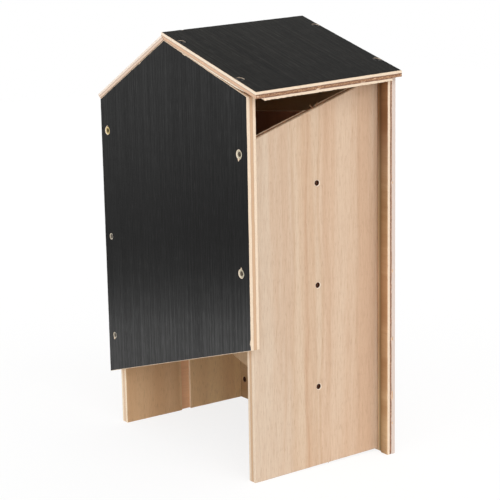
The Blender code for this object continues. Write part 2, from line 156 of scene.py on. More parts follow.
# A board as one ring of sections. Station s walks round the outline. Level k goes from the outer face
# over a rounded arris, across the plies and over the other arris to the inner face. A point is
# outline(s, depth) - outward(s) * (rim + arris + fibre): outline follows each edge's own slope, rim is a
# strip rubbed down by rubDepth, arris is a quarter circle whose radius grows at chips, and fibre is
# lattice noise drawn out along the plies, deepest in the middle ply.
def boardGrid(board):
    corners, sideways, upward, inward = boardPlane(board)
    flat = np.stack([(corners - corners[0]) @ sideways, (corners - corners[0]) @ upward], 1)
    following = np.roll(flat, -1, axis=0)
    runs = following - flat
    lengths = np.linalg.norm(runs, axis=1)
    around = (flat[:, 0] * following[:, 1] - following[:, 0] * flat[:, 1]).sum()
    turn = 1 if around > 0 else -1
    outwards = turn * np.stack([runs[:, 1], -runs[:, 0]], 1) / lengths[:, None]
    before = np.roll(outwards, 1, axis=0)
    pairs = np.stack([before, outwards], 1)
    mitres = np.linalg.solve(pairs, np.ones((len(flat), 2, 1)))[:, :, 0]

    counts = np.maximum(2, np.ceil(lengths / (board["step"] * mm))).astype(int)
    edge = np.repeat(np.arange(len(flat)), counts)
    start = np.repeat(np.cumsum(counts) - counts, counts)
    share = (np.arange(counts.sum()) - start) / counts[edge]
    along = (np.cumsum(lengths) - lengths)[edge] + share * lengths[edge]
    outward = np.where(share[:, None] == 0, mitres[edge], outwards[edge])

    seed = board["seed"]

    def perEdge(name):
        return np.broadcast_to(board[name], len(flat))[edge]

    def alongNoise(name, noiseSeed):
        return latticeNoise(along * edgeGrain[name], along * 0, noiseSeed)

    chip = np.zeros(len(along))
    for number, place, length, size in board["chips"]:
        away = (share - place) * lengths[number] / (length * mm)
        ragged = 1 + 0.4 * alongNoise("chips", 5)
        chip += np.where(edge == number, np.exp(-away ** 4) * size * mm * ragged, 0)
    rubbed = 1 + 0.5 * alongNoise("rubbed", seed + 7)
    rim = perEdge("rubbed") * mm * rubbed + chip
    wear = np.clip(alongNoise("wear", seed) - 0.45, 0, 1)
    arris = board["arris"] * mm
    outerArris = arris * (1 + 0.25 * alongNoise("outerArris", seed + 1))
    outerArris += wear * board["wear"] * mm + chip
    splinters = np.clip(alongNoise("splinters", seed + 8) + 0.3, 0, 1)
    splinters = splinters * perEdge("splinter")
    innerArris = arris * (1.2 + 0.4 * alongNoise("innerArris", seed + 2)) + splinters * mm

    thickness = board["thickness"] * mm
    turns = np.linspace(0, math.pi / 2, arrisLevels)
    band = np.linspace(0, 1, bandLevels + 2)[1:-1]
    rubDepth = board["rubDepth"] * mm
    room = thickness - rubDepth - outerArris - innerArris
    depth = np.concatenate([
        np.zeros((len(along), 1)),
        rubDepth + outerArris[:, None] * (1 - np.cos(turns)),
        rubDepth + outerArris[:, None] + room[:, None] * band,
        thickness - innerArris[:, None] * (1 - np.cos(turns[::-1])),
    ], 1)
    rounding = np.concatenate([
        (rim + outerArris + rubDepth)[:, None],
        rim[:, None] * (turns == 0) + outerArris[:, None] * (1 - np.sin(turns)),
        np.zeros((len(along), len(band))),
        innerArris[:, None] * (1 - np.sin(turns[::-1])),
    ], 1)

    def edgeNoise(name, noiseSeed):
        cells, deepCells = edgeGrain[name]
        return latticeNoise(along[:, None] * cells, depth * deepCells, noiseSeed)

    ply = depth / thickness * 3
    ply = ply + 0.07 * latticeNoise(along[:, None] * edgeGrain["plies"], ply * 0.7, seed + 3)
    middle = np.clip((ply - 1) * 12, 0, 1) * np.clip((2 - ply) * 12, 0, 1)
    tear = perEdge("tear")[:, None]
    fibre = 0.05 + 0.05 * edgeNoise("fibre", seed + 4)
    torn = 0.22 + 0.20 * edgeNoise("torn", seed + 5)
    hollow = np.clip(edgeNoise("hollow", seed + 6) - 0.5, 0, 1) * 2.2
    rough = fibre + middle * tear * (torn + hollow)
    rounding = rounding + rough * mm

    levelDepths = depth.mean(0)
    slopes = board.get("slopes", {})
    stops = [np.array(slopes.get(number, [(0, 0)])) * mm for number in range(len(flat))]
    outsets = np.array([np.interp(levelDepths, stop[:, 0], stop[:, 1]) for stop in stops])
    shifts = np.linalg.solve(pairs, np.stack([np.roll(outsets, 1, axis=0), outsets], 1))
    ends = flat[:, :, None] + shifts
    nextEnds = np.roll(ends, -1, axis=0)
    outline = ends[edge] + (nextEnds[edge] - ends[edge]) * share[:, None, None]
    exact = np.array([np.interp(depth, stop[:, 0], stop[:, 1]) for stop in stops])
    drift = exact[edge, np.arange(len(edge))] - outsets[edge]
    outline = outline + outwards[edge][:, :, None] * drift[:, None, :]

    place = outline - outward[:, :, None] * rounding[:, None, :]
    grid = corners[0] + place[:, 0, :, None] * sideways + place[:, 1, :, None] * upward
    return grid + depth[:, :, None] * inward


# Two directions square to an axis.
def crossDirections(axis):
    other = (0.0, 0.0, 1.0) if abs(axis[2]) < 0.99 else (1.0, 0.0, 0.0)
    first = unit(np.cross(axis, other))
    return first, np.cross(axis, first)


# Noise round a ring of angles, which meets itself where the ring closes
def ringNoise(angle, cells, seed):
    return latticeNoise(np.abs(angle - math.pi) * cells, angle * 0 + 0.5, seed)


# A turned form: place + axis * depth(k) + radius(k) * (cos a * first + sin a * second), where the
# radius of the levels named in wobble also swells and shrinks round the rim by lattice noise.
def turnedGrid(profile, place, axis, stations, wobble=0.0, wobbly=(), seed=0):
    axis = unit(axis)
    first, second = crossDirections(axis)
    angle = np.arange(stations) * 2 * math.pi / stations
    depths = np.array(profile)[:, 0] * mm
    radii = np.tile(np.array(profile)[:, 1] * mm, (stations, 1))
    ragged = ringNoise(angle, 2.2, seed) + 0.5 * ringNoise(angle, 6, seed + 1)
    for level in wobbly:
        radii[:, level] += ragged * wobble * mm
    ring = np.cos(angle)[:, None] * first + np.sin(angle)[:, None] * second
    return place + depths[None, :, None] * axis + radii[:, :, None] * ring[:, None, :]


# A torn place beside a screw, taken out of the face as a flattened ball: the ring at depth d has the
# half lengths tall and wide times the square root of 1 - (d / deep) squared.
def scoopGrid(place, axis, up, tall, wide, deep, seed, stations=26):
    angle = np.arange(stations) * 2 * math.pi / stations
    depths = np.linspace(-0.9, 0.995, 9)
    size = np.sqrt(1 - depths ** 2)
    ragged = 1 + 0.25 * ringNoise(angle, 3, seed)
    side = np.cross(axis, up)
    ring = (np.cos(angle)[:, None] * up * tall + np.sin(angle)[:, None] * side * wide) * ragged[:, None]
    return place + (ring[:, None, :] * size[None, :, None] + depths[None, :, None] * axis * deep) * mm


def addObject(name, data):
    made = bpy.data.objects.new(name, data)
    bpy.context.collection.objects.link(made)
    return made


# Take closed forms out of a board's mesh and keep the result as the mesh itself.
def cutOut(piece, cutters):
    for number, mesh in enumerate(cutters):
        tool = addObject(f"{piece.name}_cutter{number}", mesh)
        cutter = piece.modifiers.new(tool.name, "BOOLEAN")
        cutter.solver = "EXACT"
        cutter.operation = "DIFFERENCE"
        cutter.object = tool
        depsgraph = bpy.context.evaluated_depsgraph_get()
        carved = bpy.data.meshes.new_from_object(piece.evaluated_get(depsgraph))
        piece.modifiers.clear()
        piece.data = carved
        bpy.data.objects.remove(tool)


def joinMeshes(name, meshes):
    points = np.concatenate([readAll(mesh.vertices, "co", 3) for mesh in meshes])
    faces = []
    base = 0
    for mesh in meshes:
        corners = readAll(mesh.loops, "vertex_index", 1, int) + base
        ends = np.cumsum(readAll(mesh.polygons, "loop_total", 1, int))
        faces += [face.tolist() for face in np.split(corners, ends[:-1])]
        base += len(mesh.vertices)
    joined = bpy.data.meshes.new(name)
    joined.from_pydata(points.tolist(), [], faces)
    joined.polygons.foreach_set("use_smooth", np.ones(len(faces), bool))
    return joined


def addPiece(name, mesh, material, node):
    piece = addObject(name, mesh)
    mesh.materials.clear()
    mesh.materials.append(material)
    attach(piece, "root")
    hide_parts(node)
    return piece


# Helpers that build node trees
def feed(tree, socket, value):
    if isinstance(value, bpy.types.NodeSocket):
        tree.links.new(value, socket)
    else:
        socket.default_value = value


def fill(tree, node, inputs):
    for key, value in inputs.items():
        feed(tree, node.inputs[key], value)


# A node of a kind, with its settings, and with values or sockets for its inputs by name or number
def addNode(tree, kind, inputs, **settings):
    node = tree.nodes.new("ShaderNode" + kind)
    for name, value in settings.items():
        setattr(node, name, value)
    fill(tree, node, inputs)
    return node


def startTree(owner):
    owner.use_nodes = True
    owner.node_tree.nodes.clear()
    return owner.node_tree


def startMaterial(name):
    material = bpy.data.materials.new(name)
    tree = startTree(material)
    shader = addNode(tree, "BsdfPrincipled", {})
    addNode(tree, "OutputMaterial", {"Surface": shader.outputs["BSDF"]})
    return material, tree, shader


def calc(tree, operation, first, second=0.0, third=0.0):
    return addNode(tree, "Math", {0: first, 1: second, 2: third}, operation=operation).outputs[0]


def times(tree, first, second):
    return calc(tree, "MULTIPLY", first, second)


def less(tree, first, second):
    return calc(tree, "SUBTRACT", first, second)


# value * factor + start
def scaled(tree, value, factor, start):
    return calc(tree, "MULTIPLY_ADD", value, factor, start)


# 0 below low, 1 above high, a smooth step between
def rise(tree, value, low, high):
    inputs = {"Value": value, "From Min": low, "From Max": high}
    return addNode(tree, "MapRange", inputs, interpolation_type="SMOOTHSTEP").outputs["Result"]


def mixColour(tree, amount, first, second, mode="MIX"):
    inputs = {0: amount, 6: first, 7: second}
    return addNode(tree, "Mix", inputs, data_type="RGBA", blend_type=mode).outputs[2]


def axesOf(tree, vector):
    return addNode(tree, "SeparateXYZ", {0: vector}).outputs


def marked(tree, title):
    return addNode(tree, "Attribute", {}, attribute_name=title).outputs["Fac"]


def addBump(tree, shader, height, strength, distance):
    bump = addNode(tree, "Bump", {"Strength": strength, "Distance": distance, "Height": height})
    feed(tree, shader.inputs["Normal"], bump.outputs["Normal"])


# Noise stretched by scales, which are cells per metre across the grain, along it and into the wood
def grainNoise(tree, vector, scales, detail=2.0, roughness=0.5, warp=0.0, offset=(0, 0, 0)):
    mapping = addNode(tree, "Mapping", {"Scale": scales, "Location": offset, "Vector": vector})
    inputs = {"Vector": mapping.outputs[0], "Scale": 1.0, "Detail": detail, "Roughness": roughness}
    return addNode(tree, "TexNoise", {**inputs, "Distortion": warp}).outputs[0]


# Straight sRGB values, as a paint chart gives them, turned to the linear ones that sockets take
def tint(red, green, blue):
    values = np.array([red, green, blue]) / 255
    linear = np.where(values <= 0.04045, values / 12.92, ((values + 0.055) / 1.055) ** 2.4)
    return (*linear.tolist(), 1.0)


woods = {
    "light": tint(219, 196, 171), "warm": tint(211, 181, 153), "deep": tint(186, 150, 121),
    "pore": tint(160, 120, 92), "inner": tint(218, 186, 148), "innerDeep": tint(196, 158, 118),
    "cream": tint(237, 216, 191), "creamLine": tint(218, 184, 150), "beige": tint(219, 184, 150),
    "core": tint(150, 104, 74), "coreDark": tint(74, 40, 24), "coreFlat": tint(190, 128, 94),
    # the tint for a hole's bore is painted shade; rim is pale bare wood brightened as a painted highlight
    "glue": tint(142, 92, 64), "boreShade": tint(84, 46, 28), "rim": tint(255, 242, 224),
}


# Axes of a board for its pattern: across the grain, along the grain, and into the wood
def patternAxes(board):
    corners, sideways, upward, inward = boardPlane(board)
    grain = np.array(board["grain"], float)
    grain = unit(grain - inward * (grain @ inward))
    return corners[0], np.cross(grain, inward), grain, inward


# Patterns are the noise's scales, detail, roughness and warp
veneerLook = {
    "bands": ((42, 1.6, 30), 3, 0.55, 0.5), "streaks": ((300, 11, 60), 3, 0.6, 0.4), "streakShare": 0.18,
    "lines": ((1000, 48, 400), 3, 0.75, 0.2), "lineShare": 0.36,
    "pores": ((1700, 130, 800), 2, 0.6, 0.0), "poreShare": 0.34,
}


# Veneer of the broad faces: slow bands, streaks, fine lines and short pores, all drawn out along the
# grain. The inner face is of a browner wood than the outer one.
def veneerColour(tree, local, inside, board, shift):
    look = veneerLook
    bands = rise(tree, grainNoise(tree, local, *look["bands"], shift), 0.36, 0.64)
    streaks = rise(tree, grainNoise(tree, local, *look["streaks"], shift), 0.48, 0.72)
    lines = grainNoise(tree, local, *look["lines"], shift)
    pores = rise(tree, grainNoise(tree, local, *look["pores"], shift), 0.55, 0.72)
    # the side panels lift their inner tints above the wood's own as painted light inside the box
    innerLight, innerDeep = board.get("innerTintsWithPaintedLight", (woods["inner"], woods["innerDeep"]))
    light = mixColour(tree, inside, woods["light"], innerLight)
    warm = mixColour(tree, inside, woods["warm"], innerDeep)
    deep = mixColour(tree, inside, woods["deep"], innerDeep)
    colour = mixColour(tree, bands, light, warm)
    lined = rise(tree, lines, 0.42, 0.70)
    colour = mixColour(tree, times(tree, streaks, look["streakShare"]), colour, deep)
    colour = mixColour(tree, times(tree, lined, look["lineShare"]), colour, deep)
    colour = mixColour(tree, times(tree, pores, look["poreShare"]), colour, woods["pore"])
    return colour, lines, pores


# A board may have its own plies, core and glue: plies is where the middle ply starts and ends, core its
# dark, usual and speck colours, and glue the line's strength on long grain and on end grain and its width
sawnLook = {
    "plies": (0.333, 0.667), "glue": (0.5, 0.5, 0.026),
    "core": (woods["coreDark"], woods["core"], woods["coreFlat"]),
    "lines": ((260, 260, 3000), 3, 0.6), "fibres": ((1500, 1500, 1800), 3, 0.65),
    "specks": ((900, 900, 1200), 2, 0.6, 0.0, (4, 8, 2)),
}


# Sawn edges: two pale outer plies, a middle one that is brown end grain or mild long grain, and thin
# glue lines between them. level runs from 0 at the outer face to 1 at the inner one.
def sawnColour(tree, local, level, onEndGrain, board):
    alongAmount, acrossAmount = board["coreBrown"]
    brownAmount = scaled(tree, onEndGrain, acrossAmount - alongAmount, alongAmount)
    # the roofs and the left side lift their long-grain edges, such as the rakes, as painted light from the
    # front
    sidePale, sideMild = board.get("sideTintsWithPaintedLight", (woods["cream"], woods["beige"]))
    cream = mixColour(tree, onEndGrain, sidePale, woods["cream"])
    beige = mixColour(tree, onEndGrain, sideMild, woods["beige"])

    first, second = board.get("plies", sawnLook["plies"])
    coreDark, core, coreFlat = board.get("core", sawnLook["core"])
    intoCore = rise(tree, level, first - 0.018, first + 0.017)
    inCore = less(tree, intoCore, rise(tree, level, second - 0.017, second + 0.018))
    nearFirst = calc(tree, "ABSOLUTE", less(tree, level, first))
    nearSecond = calc(tree, "ABSOLUTE", less(tree, level, second))
    nearest = calc(tree, "MINIMUM", nearFirst, nearSecond)
    alongGlue, acrossGlue, glueWidth = board.get("glue", sawnLook["glue"])
    glueAmount = scaled(tree, onEndGrain, acrossGlue - alongGlue, alongGlue)
    glue = less(tree, 1.0, rise(tree, nearest, 0.006, glueWidth))
    sawLines = grainNoise(tree, local, *sawnLook["lines"])
    fibres = grainNoise(tree, local, *sawnLook["fibres"])
    specks = grainNoise(tree, local, *sawnLook["specks"])
    lined = times(tree, rise(tree, sawLines, 0.45, 0.75), 0.5)
    pale = mixColour(tree, lined, cream, woods["creamLine"])
    specked = times(tree, rise(tree, specks, 0.58, 0.72), 0.4)
    pale = mixColour(tree, specked, pale, woods["deep"])
    brown = mixColour(tree, rise(tree, fibres, 0.42, 0.58), coreDark, core)
    brown = mixColour(tree, rise(tree, specks, 0.5, 0.7), brown, coreFlat)
    darker = times(tree, rise(tree, fibres, 0.4, 0.7), 0.4)
    mild = mixColour(tree, darker, beige, woods["deep"])
    # outerPly: the back panel's greyer outer ply, and on the partition painted shade in the vent
    if "outerPly" in board:
        pale = mixColour(tree, rise(tree, level, 0.4, 0.5), board["outerPly"], pale)
    edge = mixColour(tree, inCore, pale, mixColour(tree, brownAmount, mild, brown))
    glueTint = board.get("glueTint", woods["glue"])
    edge = mixColour(tree, times(tree, glue, glueAmount), edge, glueTint)
    return edge, sawLines, fibres


# A tone that follows a place: stops are (place, grey) or (place, colour), and between them it runs straight
def toneRamp(tree, place, stops):
    reach = stops[-1][0]
    ramp = addNode(tree, "ValToRGB", {0: calc(tree, "DIVIDE", place, reach * mm)})
    elements = ramp.color_ramp.elements
    elements.remove(elements[0])
    for number, (stop, tone) in enumerate(stops):
        element = elements[0] if number == 0 else elements.new(stop / reach)
        element.position = stop / reach
        element.color = tint(*np.broadcast_to(tone, 3))
    return ramp.outputs[0]


stainLook = {
    "ridges": ((760, 4, 200), 3, 0.75, 0.1), "dashes": ((1400, 60, 500), 2, 0.6, 0.0),
    "clouds": ((14, 5, 10), 3, 0.5, 0.5),
}


# Black stain in the outer face: its tone follows a ramp along the board, which on the front panel is painted
# reflection and floor bounce, lightest at the bottom and darkest in the middle, and open grain shows as paler
# lines
def stainColour(tree, local, across, along, board, shift):
    ridges = grainNoise(tree, local, *stainLook["ridges"], shift)
    dashes = rise(tree, grainNoise(tree, local, *stainLook["dashes"], shift), 0.52, 0.68)
    clouds = grainNoise(tree, local, *stainLook["clouds"], shift)
    place = scaled(tree, across, board["lean"], along)
    tone = toneRamp(tree, place, board["stainAndLightTones"])
    streak = board["streak"]
    strength = scaled(tree, clouds, 0.3, max(0.2, 0.85 - 0.13 * streak))
    strength = scaled(tree, rise(tree, ridges, 0.40, 0.68), 0.45 * streak, strength)
    strength = scaled(tree, dashes, 0.35 * streak, strength)
    dark = addNode(tree, "VectorMath", {0: tone, "Scale": strength}, operation="SCALE")
    return dark.outputs[0], ridges


# Turns are how squarely a face looks along an axis, levels run through the board, depths are metres
plywoodLook = {
    "edgeTurn": (0.45, 0.85), "endGrainTurn": (0.4, 0.8), "innerLevels": (0.5, 0.6),
    "bareLevels": (0.15, 0.25, 0.75, 0.85), "crossLines": ((30, 900, 400), 3, 0.6), "drift": 0.0007,
    "stainDepths": (0.00008, 0.00020), "rubDepths": (0.00015, 0.00024), "soak": 0.00022,
    "bump": (0.6, 0.00015), "gloss": 0.3,
}


def plywood(board):
    look = plywoodLook
    material, tree, shader = startMaterial(board["name"] + "Wood")
    origin, across, grain, inward = patternAxes(board)
    thickness = board["thickness"] * mm
    turn = Matrix((across, grain, inward))
    place = addNode(tree, "TexCoord", {}).outputs["Object"]
    placing = {"Rotation": turn.to_euler(), "Location": -(turn @ Vector(origin)), "Vector": place}
    local = addNode(tree, "Mapping", placing).outputs[0]
    acrossPlace, alongPlace, depth = axesOf(tree, local)
    benchAxes = axesOf(tree, place)
    normal = addNode(tree, "NewGeometry", {}).outputs["Normal"]

    def leaning(direction):
        dot = addNode(tree, "VectorMath", {0: normal, 1: direction}, operation="DOT_PRODUCT")
        return calc(tree, "ABSOLUTE", dot.outputs["Value"])

    def benchAxis(axis):
        return less(tree, benchAxes[axis], bench[axis])

    onEdge = less(tree, 1.0, rise(tree, leaning(inward), *look["edgeTurn"]))
    onEndGrain = rise(tree, leaning(grain), *look["endGrainTurn"])
    waver = grainNoise(tree, local, (90, 90, 90), 2)
    drift = scaled(tree, waver, look["drift"], -look["drift"] / 2)
    level = calc(tree, "DIVIDE", calc(tree, "ADD", depth, drift), thickness)

    shift = (board["seed"] * 3.7, board["seed"] * 1.3, 0)
    inside = board.get("brown") or rise(tree, level, *look["innerLevels"])
    veneer, lines, pores = veneerColour(tree, local, inside, board, shift)
    sawn, sawLines, fibres = sawnColour(tree, local, level, onEndGrain, board)

    # where a groove or a step lays the middle ply bare, its long grain runs the other way
    start, full, end, gone = look["bareLevels"]
    laidBare = less(tree, rise(tree, level, start, full), rise(tree, level, end, gone))
    crossLines = rise(tree, grainNoise(tree, local, *look["crossLines"]), 0.4, 0.7)
    bare = tint(*board.get("bare", (196, 140, 105)))
    coreFace = mixColour(tree, times(tree, crossLines, 0.1), bare, woods["core"])
    colour = mixColour(tree, laidBare, veneer, coreFace)

    # painted shade along one of the bench's directions on the inner side, darker in corners, under the roof
    # and
    # # in the vent, and figure on the outer one
    beyond = calc(tree, "GREATER_THAN", benchAxis(0), board.get("shadedFrom", -50) * mm)
    shaded = times(tree, inside, beyond)
    for axis, stops in board.get("paintedShades", []):
        colour = mixColour(tree, shaded, colour, toneRamp(tree, benchAxis(axis), stops), "MULTIPLY")
    if "figure" in board:
        wave = less(tree, grainNoise(tree, local, (30, 7, 1), 2, 0.5), 0.5)
        figure = toneRamp(tree, scaled(tree, wave, 0.016, benchAxis(1)), board["figure"])
        colour = mixColour(tree, less(tree, 1.0, inside), colour, figure, "MULTIPLY")
    colour = mixColour(tree, onEdge, colour, sawn)

    roughness = scaled(tree, lines, 0.22, 0.50)
    faceHeight = less(tree, times(tree, lines, 0.6), times(tree, pores, 0.5))
    edgeHeight = calc(tree, "ADD", sawLines, fibres)
    steeper = times(tree, onEdge, less(tree, edgeHeight, faceHeight))
    height = calc(tree, "ADD", faceHeight, steeper)

    if board["stained"]:
        soak = scaled(tree, fibres, look["soak"], -look["soak"] / 2)
        onTop = less(tree, 1.0, rise(tree, calc(tree, "ADD", depth, soak), *look["stainDepths"]))
        rubbedOff = times(tree, rise(tree, depth, *look["rubDepths"]), 0.85)
        rubbedOff = times(tree, rubbedOff, less(tree, 1.0, onEdge))
        colour = mixColour(tree, rubbedOff, colour, woods["cream"])
        dark, ridges = stainColour(tree, local, acrossPlace, alongPlace, board, shift)
        colour = mixColour(tree, onTop, colour, dark)
        rougher = less(tree, scaled(tree, ridges, 0.25, 0.42), roughness)
        roughness = scaled(tree, onTop, rougher, roughness)
        height = scaled(tree, times(tree, ridges, onTop), 1.2, height)
        sheen = scaled(tree, onTop, board["sheen"] - look["gloss"], look["gloss"])
    else:
        sheen = look["gloss"]
    # painted highlight on the rims of drilled holes, over their pale bare wood, and painted shade down their
    # walls
    colour = mixColour(tree, marked(tree, "rim"), colour, woods["rim"])
    colour = mixColour(tree, marked(tree, "boreShade"), colour, woods["boreShade"])
    fill(tree, shader, {"Base Color": colour, "Roughness": roughness, "Specular IOR Level": sheen})
    addBump(tree, shader, height, *look["bump"])
    return material


# The broad faces are those whose normal lies along the board's depth: they are shaded flat, and the
# sharp turns elsewhere keep their edges.
def flatten(mesh, inward):
    broad = np.abs(readAll(mesh.polygons, "normal", 3) @ inward) > 0.9999
    mesh.polygons.foreach_set("use_smooth", ~broad)
    mesh.set_sharp_from_angle(angle=math.radians(40))
    mesh.polygons.foreach_set("use_smooth", ~broad)


# The screws come before the boards, because the boards take their holes. Each hole is a profile of
# depths below the face and radii there.
largeScrew = {
    "head": 3.6, "rim": 0.4, "cone": 2.0, "shank": 1.7, "length": 30.0, "tip": 5.0, "sink": 0.5,
    "recess": 2.15, "arm": 0.62, "recessDepth": 1.3,
    "hole": [(-2, 4.3), (0, 4.25), (0.55, 3.72), (0.8, 3.74), (1.2, 3.9), (3.4, 2.0), (26, 2.0), (31.2, 0.3)],
}
smallScrew = {
    "head": 2.4, "rim": 0.3, "cone": 1.2, "shank": 1.3, "length": 22.0, "tip": 4.0, "sink": 3.0,
    "recess": 1.35, "arm": 0.42, "recessDepth": 0.8,
    "hole": [(-2, 3.2), (0, 3.12), (0.5, 2.5), (0.9, 2.5), (3.9, 2.7), (5.1, 1.6), (21, 1.6), (25.6, 0.3)],
}
flushScrew = {
    "head": 2.9, "rim": 0.3, "cone": 1.5, "shank": 1.7, "length": 30.0, "tip": 5.0, "sink": 0.35,
    "recess": 1.8, "arm": 0.55, "recessDepth": 1.1,
    "hole": [(-2, 3.15), (0, 3.1), (0.4, 3.0), (0.8, 3.0), (1.2, 3.1), (2.6, 2.0), (26, 2.0), (31.2, 0.3)],
}
roofHole = [(-2, 3.8), (0, 3.76), (0.2, 3.75), (0.55, 3.72), (1.2, 3.9), (3.4, 2.0), (26, 2.0), (31.2, 0.3)]
# A roof board's upper face at the front: x and z of a point, and the rise in z for each unit of x
roofSlopes = {"left": (-2.602, 326.159, 0.524718), "right": (116.948, 387.052, -0.307939)}


def screwRows():
    rows = []
    upright = {
        "front_left_screw": ((11.4, 0), (0, 1, 0), (91.0, 189.44, 291.9)),
        "front_right_screw": ((227.4, 0), (0, 1, 0), (189.22, 291.44)),
        "back_left_screw": ((11.4, 156.6), (0, -1, 0), (91.0, 189.44, 291.9)),
        "back_right_screw": ((227.4, 156.6), (0, -1, 0), (91.0, 189.22, 291.44)),
        "left_partition_screw": ((5.0, 81.0), (1, 0, 0), (135.8, 242.29)),
        "right_partition_screw": ((230.0, 81.0), (-1, 0, 0), (74.6, 167.62, 258.81)),
    }
    for name, ((x, y), axis, heights) in upright.items():
        for number, z in enumerate(heights, start=1):
            kind = smallScrew if "partition" in name else largeScrew
            if name == "front_left_screw" and number < 3:
                kind = flushScrew
            rows.append((f"{name}_{number}", benchPoint((x, y, z)), np.array(axis, float), kind))
    for side, places in (("left", (93.3, 24.0)), ("right", (137.3, 224.8))):
        x0, z0, slope = roofSlopes[side]
        axis = unit((slope, 0, -1))
        for number, (x, y) in enumerate([(x, y) for y in (4.5, 153.45) for x in places], start=1):
            z = z0 + slope * (x - x0) + roofClimb * y
            rows.append((f"{side}_roof_screw_{number}", benchPoint((x, y, z)), axis, largeScrew))
    return rows


screws = screwRows()

# Torn places beside screw holes: right, above, half height, half width and depth
tornPlaces = {
    "front_left_screw_3": [(0.1, 2.6, 2.3, 1.5, 0.9)],
    "front_left_screw_1": [(0.9, -3.2, 1.2, 1.2, 0.5)],
    "front_right_screw_1": [(-0.3, 3.9, 1.7, 1.0, 0.7)],
    "front_right_screw_2": [(0.7, -3.9, 2.0, 1.3, 0.8), (1.6, -2.0, 1.6, 1.2, 0.6)],
    "right_roof_screw_1": [(-3.6, 0.2, 0.4, 0.5, 0.25), (3.6, -0.2, 0.4, 0.5, 0.25)],
    "right_roof_screw_2": [(3.5, 0.6, 0.6, 0.4, 0.25), (0.8, 3.6, 0.3, 0.7, 0.2)],
    "right_roof_screw_3": [(0.5, 3.6, 0.4, 0.6, 0.25), (3.6, 0.3, 0.3, 0.4, 0.2)],
    "right_roof_screw_4": [(-0.8, 3.6, 0.4, 0.6, 0.25), (3.6, 0.4, 0.4, 0.4, 0.25)],
}

wallHoles = [(20.6, 20.3), (214.4, 20.3)]
wallHoleProfile = [(-3, 3.0), (0, 2.95), (0.25, 2.75), (8.75, 2.75), (9, 2.95), (12, 3.0)]


def holeProfile(name, kind):
    return roofHole if "roof" in name else kind["hole"]


# A thin splinter of wood: a turned form that narrows from its root, inside the board, to its tip
def splinterMesh(root, tip, width):
    start, end = benchPoint(root), benchPoint(tip)
    length = np.linalg.norm(end - start) / mm
    profile = [(0, width), (length * 0.6, width * 0.7), (length, 0.03)]
    return ringMesh("splinter", turnedGrid(profile, start, end - start, 7))


# The screw holes and torn places that reach into a board: three meshes of separate closed forms, the
# holes, the first torn place beside each and the second, so that no form meets another in its mesh
def holesFor(grid):
    low, high = grid.reshape(-1, 3).min(0), grid.reshape(-1, 3).max(0)
    groups = [[], [], []]

    def take(group, form):
        points = form.reshape(-1, 3)
        if (points.min(0) < high).all() and (points.max(0) > low).all():
            groups[group].append(ringMesh("hole", form))

    for seed, (name, place, axis, kind) in enumerate(screws):
        ragged = 0.3 if name.startswith("front") else 0.1
        take(0, turnedGrid(holeProfile(name, kind), place, axis, 44, ragged, (0, 1), seed * 2))
        up = unit(np.cross(axis, [0.584, 0.811, 0.0])) if "roof" in name else np.array([0.0, 0.0, 1.0])
        sideways = np.cross(up, axis)
        for number, (right, above, tall, wide, deep) in enumerate(tornPlaces.get(name, [])):
            middle = place + (sideways * right + up * above) * mm
            take(1 + number, scoopGrid(middle, axis, up, tall, wide, deep, seed + 50))
    return groups


# Marks for the materials, one value per corner point: rim is 1 on a drilled hole's torn rim, whose pale
# # bare wood gets a painted highlight, and the shade mark is 1 on its wall below, where the hole gets painted
# # shade, that is no further from the axis than the hole's profile at that depth, and only where all the
# # faces round the point are small, because a mark would spread over a broad face.
def markHoleRimsAndShade(mesh):
    points = readAll(mesh.vertices, "co", 3)
    boreShade = np.zeros(len(points))
    rim = np.zeros(len(points))
    totals = readAll(mesh.polygons, "loop_total", 1, int)
    areas = readAll(mesh.polygons, "area")
    loops = readAll(mesh.loops, "vertex_index", 1, int)
    widest = np.zeros(len(points))
    np.maximum.at(widest, loops, np.repeat(areas, totals))
    drills = []
    for name, place, axis, kind in screws:
        drills.append((place, axis, holeProfile(name, kind), 0.32 if "roof" in name else 0.6))
    for x, z in wallHoles:
        drills.append((benchPoint((x, 147.6, z)), np.array([0.0, 1.0, 0.0]), wallHoleProfile, 0.2))
    for place, axis, profile, start in drills:
        depth = (points - place) @ axis
        away = np.linalg.norm(points - place - depth[:, None] * axis, axis=1)
        levels = np.array(profile) * mm
        reach = np.interp(depth, levels[:, 0], levels[:, 1]) + 0.12 * mm
        drilled = (away < reach) & (depth < levels[-2, 0] + 0.1 * mm) & (widest < 10 * mm * mm)
        boreShade[drilled & (depth > start * mm)] = 1
        rim[drilled & (depth > 0.3 * mm) & (depth <= start * mm)] = 1
    addMark(mesh, "boreShade", boreShade)
    addMark(mesh, "rim", rim)


# A box with straight sides, as a ring of four stations and two levels
def boxGrid(low, high):
    (x0, y0, z0), (x1, y1, z1) = low, high
    ring = [(x0, y0), (x1, y0), (x1, y1), (x0, y1)]
    return np.array([[benchPoint((x, y, z)) for z in (z0, z1)] for x, y in ring])


# What comes off under a roof board between two places y: an outline in x and z, drawn out along the
# roof's rise. Its top lies as far below the board's face as seat says at each x, where the board
# comes down on the panel.
def stepGrid(board, y0, y1, seat):
    x0, z0, slope = roofSlopes[board["side"]]
    outline = [(-15.0, 250.0), (265.0, 250.0)]
    for x, below in reversed(seat):
        outline.append((x, z0 + slope * (x - x0) - below * math.hypot(1, slope)))
    return np.array([[benchPoint((x, y, z + roofClimb * y)) for y in (y0, y1)] for x, z in outline])


flatSeat = [(-15.0, 5.3), (265.0, 5.3)]

